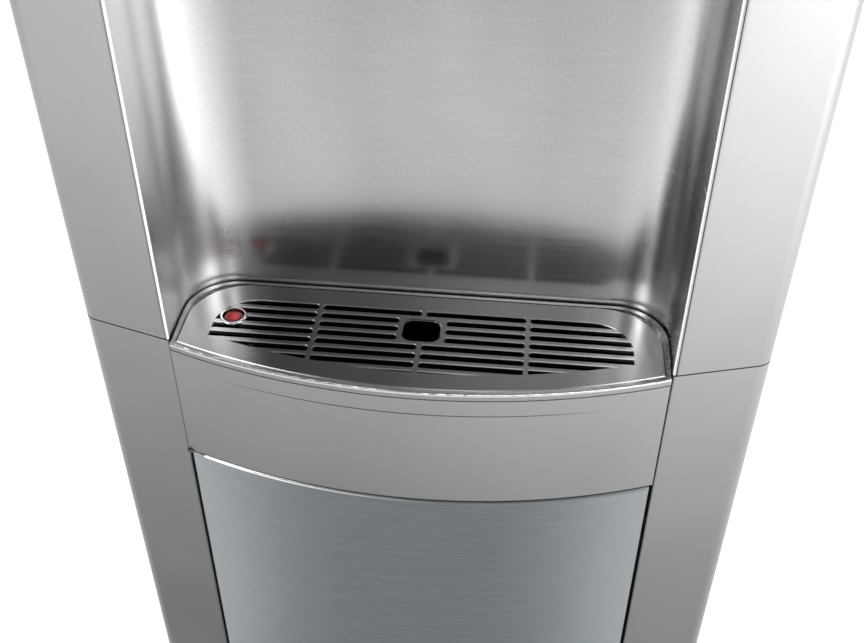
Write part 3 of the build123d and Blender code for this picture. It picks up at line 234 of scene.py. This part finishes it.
def silver_shell():
    """Colour carries painted shade, dark at the foot and the left and light above and at the right,
    plus flake.

    Roughness follows the flake and the cloud.
    """
    coat = Finish("silver_shell", Metallic=0.9, Coat_Roughness=0.25)
    flake = coat.grain(FLAKE, detail=1.0)
    cloud = coat.grain((9, 9, 6), detail=2.0)
    # Painted shade: the height and side ramps darken the colour towards the foot and the left.
    lift = coat.height().ramp(SHELL_FOOT, SHELL_HEAD)
    side = coat.across().ramp(SHELL_LEFT, SHELL_RIGHT)
    light = lift * 0.52 + side * (lift * 0.34 + 0.10) + cloud * 0.12 + flake * 0.10 - 0.08
    coat.feed("Base Color", coat.blend(light, grey(0.07), grey(0.62)))
    coat.feed("Roughness", flake * 0.10 + cloud * 0.06 + 0.27)
    coat.feed("Coat Weight", cloud * 0.3)
    coat.bump(flake, 10 * MICRON, 0.35)
    return coat.material


finishes = {"silver_shell": silver_shell()}
print("made", list(finishes))

# %% [markdown]
# ## Brushed and formed steel
# Brushing leaves scratches that run one way. Noise stretched far along that
# way and squeezed across it gives them: the scale has a few cells to the metre
# along the brushing and thousands across. The same noise darkens the colour,
# spreads the gloss and, through a bump a few micrometres high, breaks up the
# highlights. Satin sheet has a finer, weaker grain.


# %% Steels
def steel(name, dark, light, coarse, fine, gloss, depth, warmth=0.0, clouds=0.25):
    """Colour, gloss and bump follow coarse and fine scratches and a slow cloud."""
    sheet = Finish(name, Metallic=1.0)
    scratches = sheet.grain(coarse, detail=4.0)
    hairs = sheet.grain(fine, detail=2.0)
    cloud = sheet.grain((14, 14, 10), detail=2.0)
    shade = scratches * 0.45 + hairs * 0.30 + cloud * clouds
    sheet.feed("Base Color", sheet.blend(shade, grey(dark, warmth), grey(light, warmth)))
    sheet.feed("Roughness", scratches * 0.10 + cloud * 0.08 + gloss)
    sheet.bump(scratches * 0.6 + hairs * 0.4, depth, 0.5)
    return sheet.material


def liner_steel():
    """Satin steel pressed into a bay: faint draw lines and a slow ripple left by the press.

    It carries a painted highlight: lighter towards both corners, and more so towards the left one.
    """
    sheet = Finish("liner_steel", Metallic=1.0)
    draw = sheet.grain((30, 30, 420), detail=4.0)
    hairs = sheet.grain((900, 900, 900), detail=2.0)
    ripple = sheet.grain((24, 24, 7), detail=1.0)
    # Painted highlight: the colour is lifted towards both corners of the bay, more at the left one.
    left_heavy_painted_highlight = 0.62 - sheet.across().ramp(-0.02, 0.06) * 0.42
    turn = sheet.off_middle(0.0058, 0.0104) * left_heavy_painted_highlight
    shade = draw * 0.08 + hairs * 0.18 + ripple * 0.16 + turn + 0.03
    sheet.feed("Base Color", sheet.blend(shade, grey(0.20), grey(0.88)))
    sheet.feed("Roughness", draw * 0.08 + ripple * 0.06 + turn * 0.12 + 0.16)
    sheet.bump(draw * 0.4 + hairs * 0.2, 4 * MICRON, 0.4)
    return sheet.material


def grate_steel():
    """Brushed along the slots, with a painted reflection: darkest in the middle and lighter towards
    both ends.
    """
    sheet = Finish("grate_steel", Metallic=1.0)
    scratches = sheet.grain((30, 2600, 300), detail=3.0)
    hairs = sheet.grain((90, 6000, 900), detail=2.0)
    # Painted reflection: the colour lightens towards both ends of the grate.
    ends = sheet.off_middle(0.0035, 0.0105)
    shade = ends * 0.72 + scratches * 0.12 + hairs * 0.10
    sheet.feed("Base Color", sheet.blend(shade, grey(0.14, 0.01), grey(0.90, 0.01)))
    sheet.feed("Roughness", scratches * 0.08 + ends * 0.16 + 0.20)
    sheet.bump(scratches * 0.5 + hairs * 0.5, 4 * MICRON, 0.4)
    return sheet.material


def tray_steel():
    """The tray's own steel, painted shadow-dark in the well, with the shell's silver on its front rim
    below the top edge, in painted shade towards the left.
    """
    sheet = Finish("tray_steel", Metallic=1.0)
    scratches = sheet.grain((30, 900, 900), detail=3.0)
    flake = sheet.grain(FLAKE, detail=1.0)
    height = sheet.height()
    rim_top = grate_high.z
    reach = sheet.reach((0, ARC_CENTRE, 0))
    front_rim = reach.ramp(ARC_RADIUS - 0.9 * MM, ARC_RADIUS - 0.7 * MM)
    silvered = front_rim * (1 - height.ramp(rim_top - 1.5 * MM, rim_top - 1.3 * MM))
    upper = height.ramp(rim_top - 4.5 * MM, rim_top - 1.2 * MM)
    shade = scratches * 0.4 + flake * 0.2 + 0.15
    # Painted shadow: the well below the rim is nearly black.
    painted_shadow_well = sheet.blend(shade, grey(0.02), grey(0.07))
    rim = sheet.blend(shade, grey(0.30), grey(0.80))
    # Painted shade, as on the shell: the rim's silver darkens towards the left.
    side = sheet.across().ramp(SHELL_LEFT, SHELL_RIGHT)
    shell = sheet.blend(side * 0.5 + flake * 0.2, grey(0.17), grey(0.42))
    sheet.feed("Base Color", sheet.blend(silvered, sheet.blend(upper, painted_shadow_well, rim), shell))
    sheet.feed("Roughness", scratches * 0.06 + silvered * 0.08 + 0.24)
    sheet.bump(scratches * 0.5 + flake * 0.5, 1 * MICRON, 0.3)
    return sheet.material


def door_steel():
    """Horizontal brushing, cold grey, with a painted reflection that is lightest at both sides and
    darkest in the middle.
    """
    sheet = Finish("door_steel", Metallic=0.75)
    scratches = sheet.grain((38, 38, 1500), detail=4.0)
    hairs = sheet.grain((120, 120, 4600), detail=2.0)
    # Painted reflection: the off-middle term lightens the colour towards both sides.
    shade = sheet.off_middle(0.0004, 0.0125) * 0.34 + scratches * 0.24 + hairs * 0.16 - 0.02
    dark, light = tone(0.065, 0.076, 0.082), tone(0.43, 0.465, 0.48)
    sheet.feed("Base Color", sheet.blend(shade, dark, light))
    sheet.feed("Roughness", scratches * 0.14 + hairs * 0.06 + 0.30)
    sheet.bump(scratches * 0.6 + hairs * 0.4, 10 * MICRON, 0.55)
    return sheet.material


finishes["liner_steel"] = liner_steel()
finishes["grate_steel"] = grate_steel()
finishes["door_steel"] = door_steel()
for name, *look in (
    # name, dark, light, coarse, fine, gloss, depth, warmth, clouds
    ("zinc_steel", 0.34, 0.70, (60,) * 3, (1400,) * 3, 0.28, 12 * MICRON, -0.02, 0.6),
    ("tank_steel", 0.42, 0.74, (40, 40, 600), (120, 120, 3000), 0.22, 8 * MICRON, 0.01),
    ("heater", 0.22, 0.50, (90, 90, 240), (700, 700, 900), 0.36, 20 * MICRON, 0.05, 0.4),
):
    finishes[name] = steel(name, *look)
print("made", list(finishes))

# %% [markdown]
# ## Side panels, enamel, copper and chrome
# The side panels carry a powder coat: an orange-peel surface a millimetre
# across under a satin gloss. Enamel is the same but black and deeper. Drawn
# copper has long streaks and brown tarnish, and chrome is nearly a mirror with
# only a trace of haze, so its pattern goes mostly into its gloss.


# %% Coated and plated metals
def coated(name, dark, light, cell, gloss, metallic, depth, coat=0.0):
    """An even coat: orange peel of one cell size, and a slow cloud in its colour."""
    skin = Finish(name, Metallic=metallic, Coat_Roughness=0.12)
    peel = skin.grain((1 / cell,) * 3, detail=2.0)
    cloud = skin.grain((16, 16, 12), detail=3.0)
    skin.feed("Base Color", skin.blend(peel * 0.4 + cloud * 0.6, dark, light))
    skin.feed("Roughness", cloud * 0.12 + peel * 0.06 + gloss)
    skin.feed("Coat Weight", cloud * 0.2 + coat)
    skin.bump(peel, depth, 0.6)
    return skin.material


for name, *look in (
    # name, dark, light, cell, gloss, metallic, depth, coat
    ("side_steel", grey(0.44), grey(0.60), 1.2 * MM, 0.34, 0.35, 40 * MICRON),
    ("black_enamel", grey(0.008), grey(0.035), 1.6 * MM, 0.22, 0.0, 50 * MICRON, 0.4),
    ("chrome", grey(0.72), grey(0.90), 4 * MM, 0.06, 1.0, 2 * MICRON),
    ("magnet", grey(0.03), grey(0.09), 0.6 * MM, 0.42, 0.2, 60 * MICRON),
    ("copper", tone(0.42, 0.19, 0.10), tone(0.86, 0.47, 0.30), 3 * MM, 0.24, 1.0, 10 * MICRON),
):
    finishes[name] = coated(name, *look)
print("made", list(finishes))

# %% [markdown]
# ## Plastics, rubber, foam and boards
# Moulded plastic isn't flat either: spark erosion in the mould leaves a fine
# even grain, and flow leaves broad patches that differ slightly in gloss. One
# function takes the two colours, the size of the grain and the gloss, and makes
# dark housings, white filter parts, keys, rubber, silicone and foam from them.


# %% Moulded materials
def moulded(name, dark, light, cell, gloss, depth, coat=0.0):
    """Colour and gloss follow mould grain of one cell size and broad flow patches."""
    skin = Finish(name, Coat_Roughness=0.08)
    texture = skin.grain((1 / cell,) * 3, detail=3.0)
    patches = skin.grain((22, 22, 22), detail=2.0)
    skin.feed("Base Color", skin.blend(texture * 0.5 + patches * 0.5, dark, light))
    skin.feed("Roughness", texture * 0.12 + patches * 0.10 + gloss)
    skin.feed("Coat Weight", patches * 0.1 + coat)
    skin.bump(texture, depth, 0.6)
    return skin.material


for name, *look in (
    # name, dark, light, cell, gloss, depth, coat
    ("dark_plastic", grey(0.030), grey(0.055, -0.03), 0.8 * MM, 0.40, 80 * MICRON),
    ("white_plastic", grey(0.66, 0.02), grey(0.82, 0.02), 1 * MM, 0.32, 50 * MICRON, 0.1),
    ("key_plastic", grey(0.30), grey(0.42), 0.6 * MM, 0.30, 40 * MICRON, 0.1),
    ("panel_gloss", grey(0.006), grey(0.018, -0.05), 2 * MM, 0.05, 10 * MICRON, 0.8),
    ("rubber", grey(0.018), grey(0.045), 0.9 * MM, 0.62, 150 * MICRON),
    ("silicone", tone(0.60, 0.62, 0.60), tone(0.80, 0.81, 0.78), 3 * MM, 0.28, 30 * MICRON, 0.2),
    ("foam", tone(0.55, 0.53, 0.46), tone(0.88, 0.86, 0.80), 2.2 * MM, 0.75, 400 * MICRON),
    ("red_rocker", tone(0.34, 0.01, 0.01), tone(0.58, 0.03, 0.02), 2 * MM, 0.14, 20 * MICRON, 0.6),
    ("indicator", tone(0.62, 0.78, 0.86), tone(0.82, 0.92, 0.96), 1 * MM, 0.10, 20 * MICRON, 0.6),
):
    finishes[name] = moulded(name, *look)
print("made", len(finishes))


# %% [markdown]
# ## The float's lens and the circuit boards
# The lens is clear red, with a painted highlight: a lighter heart where light gathers and a dark rim,
# so its colour is blended by the distance from its own middle. The body below the lens is painted
# dark, as shade in the tray. A board is green lacquer over copper tracks, and tracks run in straight
# lanes, which a stretched noise cut hard at its middle gives.


# %% Lens and boards
def red_lens():
    """Painted highlight: bright red in the middle and deep red at the rim; painted shade: dark on the
    body below the lens.
    """
    low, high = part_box("float_indicator")
    lens = Finish("red_lens", Coat_Roughness=0.02, Coat_IOR=1.5, Specular_IOR_Level=0.25)
    mottled = lens.grain((700, 700, 700), detail=2.0)
    # Painted highlight: bright red in the middle, darker towards the rim.
    rim = lens.reach((low + high) / 2).ramp(0.8 * MM, 4.4 * MM) + mottled * 0.12
    glass = lens.blend(rim, tone(0.60, 0.002, 0.008), tone(0.13, 0.001, 0.003))
    # Painted shade: the body below the lens is near black.
    body = lens.blend(mottled, grey(0.012), grey(0.03))
    top = lens.height().ramp(high.z - 6.5 * MM, high.z - 5.5 * MM)
    lens.feed("Base Color", lens.blend(top, body, glass))
    lens.feed("Roughness", mottled * 0.06 + 0.08)
    lens.feed("Coat Weight", mottled * 0.1 + 0.3)
    return lens.material


def circuit_board():
    """Green lacquer, lighter along the copper tracks under it."""
    board = Finish("board")
    lanes = board.grain((120, 900, 140), detail=0.0)
    tracks = lanes.ramp(0.50, 0.54)
    speck = board.grain((1800, 1800, 1800), detail=1.0)
    shade = tracks * 0.7 + speck * 0.2
    board.feed("Base Color", board.blend(shade, tone(0.008, 0.07, 0.03), tone(0.03, 0.24, 0.10)))
    board.feed("Roughness", speck * 0.1 + 0.26)
    board.bump(tracks, 40 * MICRON, 0.6)
    return board.material


finishes["red_lens"] = red_lens()
finishes["board"] = circuit_board()
print("made", len(finishes), "finishes")

# %% [markdown]
# ## Finishes on the engineering pieces
# The record names a material slot for every piece, so one short loop gives each
# piece its finish. The meshes aren't touched.

# %% Assign the finishes
own_finish = {"drip_basin": tray_steel(), "hinge_brackets": finishes["black_enamel"]}
for entry in frame["record"]["subparts"]:
    piece = frame["nodes"][entry["node"]]
    for material_slot in piece.material_slots:
        material_slot.material = own_finish.get(entry["node"], finishes[entry["material_slot"]])

# %% [markdown]
# ## Surfaces from a grid of points
# The thin details are all surfaces with two parameters: along the piece, and
# round its section. The points of the whole grid come from numpy in one
# expression, and this helper joins neighbours with four-sided faces. Rows that
# shrink to a point close the ends.


# %% Grid surface helper
def grid_piece(name, points, body, slot, material=None, closed=True):
    """Four-sided faces over a grid of points, rows x columns x 3, in metres.

    Columns run round the section, and meet again if closed.
    """
    rows, columns = points.shape[:2]
    index = np.arange(rows * columns).reshape(rows, columns)
    beside = np.roll(index, -1, axis=1) if closed else index[:, 1:]
    here = index if closed else index[:, :-1]
    faces = np.stack([here[:-1], beside[:-1], beside[1:], here[1:]], axis=-1).reshape(-1, 4)
    mesh = bpy.data.meshes.new(name)
    mesh.from_pydata(points.reshape(-1, 3).tolist(), [], faces.tolist())
    mesh.materials.append(material or finishes[slot])
    mesh.shade_smooth()
    piece = bpy.data.objects.new(name, mesh)
    bpy.context.scene.collection.objects.link(piece)
    if body:
        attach(piece, body)
    print(name, len(faces), "faces")
    return piece


def bowed(x, inset):
    """Y of the curved front at x: the arc's centre less the root of (radius - inset)^2 - x^2."""
    return ARC_CENTRE - np.sqrt((ARC_RADIUS - inset) ** 2 - x**2)


CAP_SHARE = 0.008


def capped(rows):
    """A parameter from 0 to 1, and a size that is 0 at both of its ends.

    The size grows along a quarter circle and is full beyond a share CAP_SHARE from an end.
    """
    along = (1 - np.cos(np.linspace(0, np.pi, rows))) / 2
    near_end = np.clip(np.minimum(along, 1 - along) / CAP_SHARE, 0, 1)
    return along, np.sqrt(1 - (1 - near_end) ** 2)


# %% [markdown]
# ## The door's rolled lip
# The top edge of the door's steel is rolled over, so that a finger meets a
# round edge and the sheet stays stiff. It catches a thin line of light. It is
# a round bar carried along the arc of the front: its section is a circle whose
# radius falls to nothing at both ends, which closes them. It starts a little
# to the right of the hinge, so that it clears the pillar when the door is open.


# %% Door lip
def rolled_bar(points_x, centre_y, centre_z, size, radius, sides=20):
    """At each row a circle of radius times size, standing across the run of the bar."""
    turn = np.linspace(0, 2 * np.pi, sides, endpoint=False)
    ring = radius * size[:, None]
    x = np.repeat(points_x[:, None], sides, axis=1)
    y = centre_y[:, None] + ring * np.cos(turn)
    z = centre_z + ring * np.sin(turn)
    return np.stack([x, y, z], axis=-1)


def lip_steel():
    """A painted highlight: brightest at the left and dull beyond the middle."""
    sheet = Finish("lip_steel", Metallic=1.0)
    scratches = sheet.grain((60, 900, 900), detail=3.0)
    # Painted highlight: bright at the left end, fading to a dull grey by the middle.
    painted_highlight_fade = sheet.across().ramp(skin_low.x, 0.02)
    shade = painted_highlight_fade + scratches * 0.2 - 0.1
    sheet.feed("Base Color", sheet.blend(shade, grey(0.95), tone(0.16, 0.18, 0.19)))
    sheet.feed("Roughness", painted_highlight_fade * 0.16 + scratches * 0.08 + 0.14)
    return sheet.material


LIP_RADIUS = 1.1 * MM
LIP_PROUD = 0.3 * MM
LIP_DROP = 0.85 * MM
SKIN_INSET = 1.0 * MM
HINGE_CLEARANCE = 6.5 * MM
along, size = capped(160)
lip_start = skin_low.x + HINGE_CLEARANCE
lip_x = lip_start + along * (skin_high.x - lip_start)
lip_y = bowed(lip_x, SKIN_INSET - LIP_PROUD + LIP_RADIUS)
lip_points = rolled_bar(lip_x, lip_y, skin_high.z - LIP_DROP, size, LIP_RADIUS)
grid_piece("door_lip", lip_points[:, ::-1], "door", "door_steel", lip_steel())

# %% [markdown]
# ## Rolled edges of the recess
# Where the steel of the recess meets a pillar, its edge is folded back on
# itself, and the fold shows as one bright upright line. Each is a thin
# upright bar with round ends, polished as bright as chrome.


# %% Recess edges
EDGE_RADIUS = 0.4 * MM
EDGE_INSET = 0.1 * MM
SHOULDER = front_low.y + ARC_BOW + 1.6 * MM
GRATE_GAP, CEILING_GAP = 0.4 * MM, 0.3 * MM
ceiling_low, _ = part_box("head_ceiling")


def upright_bar(x, y, bottom, top, radius, sides=14):
    """Circles stacked from bottom to top, shrinking to a point at both."""
    along, size = capped(60)
    turn = np.linspace(0, 2 * np.pi, sides, endpoint=False)
    ring = radius * size[:, None]
    heights = bottom + (along * (top - bottom))[:, None] + 0 * turn
    return np.stack([x + ring * np.cos(turn), y + ring * np.sin(turn), heights], axis=-1)


edge_bottom = grate_high.z + GRATE_GAP
edge_top = ceiling_low.z - CEILING_GAP
for side, name in ((-1, "recess_edge_left"), (1, "recess_edge_right")):
    edge_x, edge_y = side * (ARC_HALF - EDGE_INSET), SHOULDER + EDGE_RADIUS
    bar = upright_bar(edge_x, edge_y, edge_bottom, edge_top, EDGE_RADIUS)
    grid_piece(name, bar, "cabinet", "chrome")

# %% [markdown]
# ## Marks on the keys
# Each key carries a small raised mark of enamel: a drop for cold, a ring for
# the lock and a drop for hot. They have no lettering. A drop is a polar grid:
# its outline is a circle drawn out upwards, and its face is domed.


# %% Key marks
MARK_RADIUS = 3.2 * MM
MARK_SINK = 0.02 * MM
DROP_HEIGHT, RING_HEIGHT = 0.18 * MM, 0.06 * MM
RING_HOLE = 0.62


def drop_outline(turn):
    """Distance from the middle: a circle, drawn out to a tip at the top."""
    return 1.0 + 0.55 * np.clip(np.sin(turn), 0, 1) ** 6


def ring_outline(turn):
    """A plain circle."""
    return 1.0 + 0 * turn


def key_mark(name, key, outline, hole, height, slot, colour):
    """A domed plate on the arc of the front.

    Rows run outwards from the hole, columns turn round it. The dome is half a
    circle from the hole to the rim, or a quarter circle where there's no hole.
    """
    low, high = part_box(key)
    middle_x, middle_z = (low.x + high.x) / 2, (low.z + high.z) / 2
    turn = np.linspace(0, 2 * np.pi, 72, endpoint=False)
    share = np.linspace(0, 1, 10)[:, None]
    reach = MARK_RADIUS * outline(turn) * (hole + (1 - hole) * share)
    dome = 1 - (2 * share - 1) ** 2 if hole else 1 - share**2
    proud = height * np.sqrt(np.clip(dome, 0, 1)) + 0 * turn
    x = middle_x + reach * np.cos(turn)
    z = middle_z + reach * np.sin(turn)
    points = np.stack([x, bowed(x, 0) + MARK_SINK - proud, z], axis=-1)
    return grid_piece(name, points, key, slot, colour)


ENAMEL = (1 * MM, 0.16, 10 * MICRON, 0.5)
blue = moulded("cold_enamel", tone(0.01, 0.10, 0.42), tone(0.02, 0.20, 0.60), *ENAMEL)
red = moulded("hot_enamel", tone(0.42, 0.01, 0.01), tone(0.62, 0.03, 0.02), *ENAMEL)
smoke = moulded("lock_enamel", grey(0.05), grey(0.12), 1 * MM, 0.18, 10 * MICRON, 0.5)
for name, key, outline, hole, height, colour in (
    ("cold_mark", "button_cold", drop_outline, 0.0, DROP_HEIGHT, blue),
    ("lock_mark", "button_lock", ring_outline, RING_HOLE, RING_HEIGHT, smoke),
    ("hot_mark", "button_hot", drop_outline, 0.0, DROP_HEIGHT, red),
):
    key_mark(name, key, outline, hole, height, "key_plastic", colour)

# %% [markdown]
# ## Floor and lamps
# The floor is plain and pale. The main lamp hangs above and behind the
# dispenser, so that the floor round it is white while the floor just in front,
# which the front panels mirror, is in soft shade. A tall box on the right
# makes the right pillar nearly white, and a narrow one on the left draws the
# streak in the recess's left corner. Two small washes brighten the floor beside
# it, a small lamp glints in the slots and a faint one fills the front.


# %% Floor
FLOOR_HALF = 20


def stage_floor():
    """A flat square of floor, forty metres wide, under the feet."""
    side = np.linspace(-FLOOR_HALF, FLOOR_HALF, 9)
    x, y = np.meshgrid(side, side)
    points = np.stack([x.T, y.T, 0 * x], axis=-1)
    pale = Finish("floor", Roughness=0.6, Emission_Strength=0.35)
    cloud = pale.grain((1.5, 1.5, 1.5), detail=2.0)
    pale.feed("Base Color", pale.blend(cloud, grey(0.86), grey(0.90)))
    pale.feed("Emission Color", pale.blend(cloud, grey(0.95), grey(1.0)))
    return grid_piece("floor", points, None, None, pale.material, closed=False)


stage_floor()


# %% Lamps
def soft_box(name, at, towards, width, height, watts):
    """A rectangular lamp at one point, facing another."""
    lamp = bpy.data.lights.new(name, "AREA")
    lamp.shape = "RECTANGLE"
    lamp.size, lamp.size_y = width, height
    lamp.energy = watts
    holder = bpy.data.objects.new(name, lamp)
    bpy.context.scene.collection.objects.link(holder)
    holder.location = at
    facing = Vector(towards) - Vector(at)
    holder.rotation_euler = facing.to_track_quat("-Z", "Y").to_euler()
    holder.visible_camera = False


for lamp in (
    # name, at, towards, width, height, watts
    ("main", (0.0, 1.3, 2.2), (0.0, 0.1, 0.0), 2.4, 1.6, 56),
    ("right_box", (1.25, -0.75, 0.55), (0.0, -0.1, 0.35), 0.8, 1.1, 10),
    ("left_strip", (-0.95, -0.95, 0.75), (-0.05, -0.12, 0.38), 0.22, 1.2, 5),
    ("right_wash", (0.95, -0.95, 1.15), (0.40, -0.45, 0.0), 0.5, 0.5, 3.2),
    ("left_wash", (-0.85, -0.95, 1.15), (-0.40, -0.45, 0.0), 0.5, 0.5, 3.2),
    ("slot_glint", (0.10, -1.05, 1.10), (0.0, -0.14, 0.285), 0.35, 0.25, 0.9),
    ("front_fill", (0.1, -1.9, 1.5), (0.0, -0.1, 0.3), 1.2, 0.7, 1.2),
):
    soft_box(*lamp)

WORLD_STRENGTH = 0.30
world = bpy.data.worlds.new("studio")
world.use_nodes = True
background = world.node_tree.nodes["Background"]
background.inputs["Color"].default_value = grey(1.0)
background.inputs["Strength"].default_value = WORLD_STRENGTH
bpy.context.scene.world = world
bpy.context.scene.view_settings.view_transform = "Standard"
print("lamps set")
